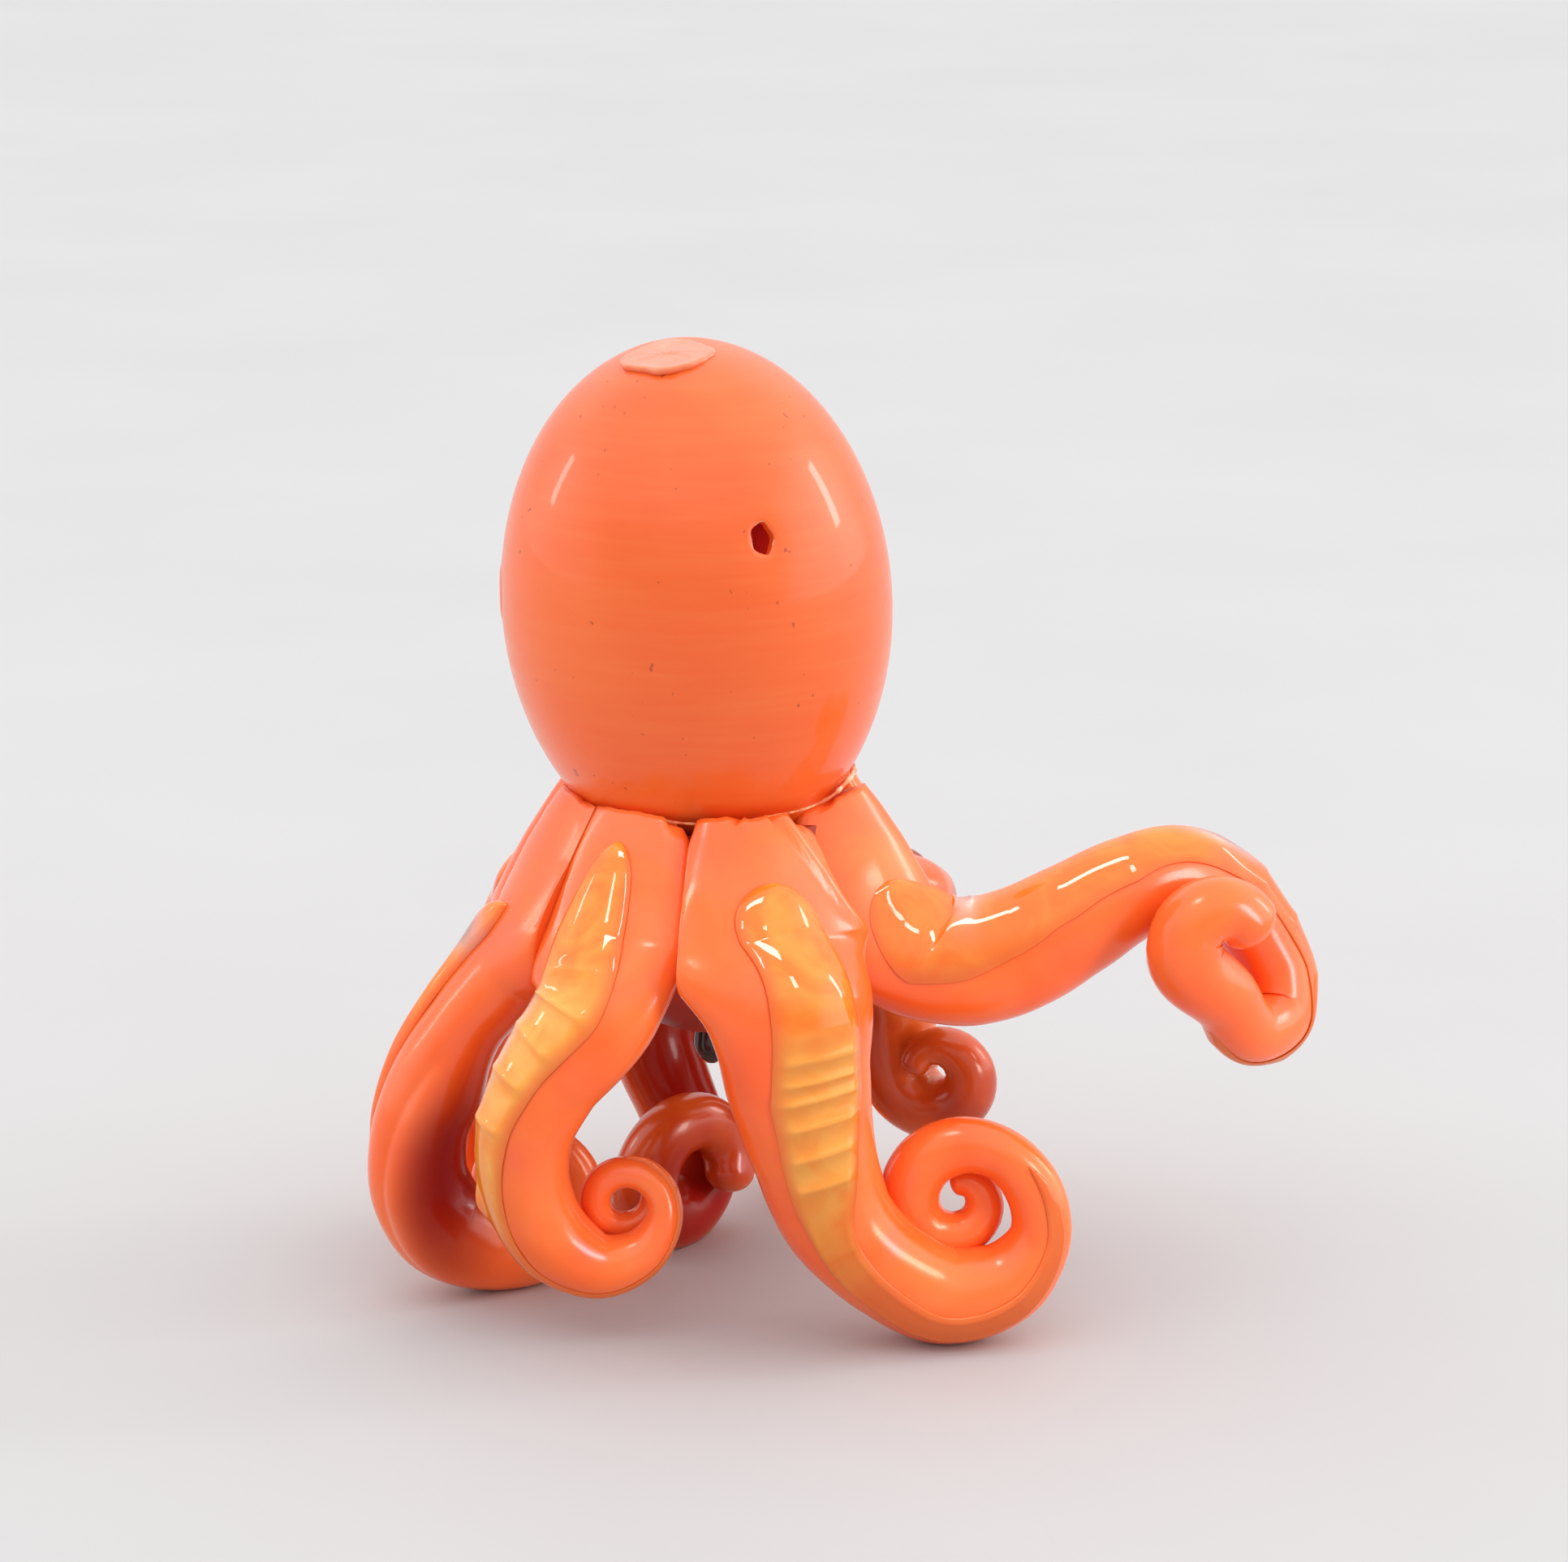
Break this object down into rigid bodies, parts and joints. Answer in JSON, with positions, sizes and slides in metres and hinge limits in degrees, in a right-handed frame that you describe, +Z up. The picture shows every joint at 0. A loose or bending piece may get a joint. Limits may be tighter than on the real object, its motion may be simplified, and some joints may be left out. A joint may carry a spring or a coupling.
{
  "type": "octopus figurine",
  "caption": "Glass octopus figurine: a hollow egg-shaped head glued on a crown of curled arms, each with a clear ridged sucker strip on its outer face.",
  "frame": {"origin": "middle of the figure's box at the table it stands on", "axes": "+Z up; the figure faces -Y, its long raised arm reaches to +X"},
  "size_m": [0.24, 0.1588, 0.2402],
  "materials": {
    "head_glass": "opaque coral, glossy",
    "arm_glass": "opaque coral with an iridescent sheen",
    "core_glass": "deep red, glossy",
    "strip_glass": "clear amber, pressed ridges",
    "seal_glass": "fire polished, pale",
    "adhesive": "cloudy cream",
    "dark_glass": "smoky black, glossy"
  },
  "bodies": {
    "root": {"head_shell": "head_glass", "crown_seal": "seal_glass", "neck_adhesive": "adhesive", "hub": "core_glass", "beak": "dark_glass", "arm_front": "arm_glass", "arm_front_left": "arm_glass", "arm_left": "arm_glass", "arm_right": "arm_glass", "arm_rear_right": "arm_glass", "arm_rear": "arm_glass", "arm_rear_left": "arm_glass", "arm_left_rear": "arm_glass", "strip_front": "strip_glass", "strip_front_left": "strip_glass", "strip_left": "strip_glass", "strip_right": "strip_glass", "strip_rear_right": "strip_glass", "strip_rear": "strip_glass", "strip_rear_left": "strip_glass", "strip_left_rear": "strip_glass"}
  },
  "joints": []
}
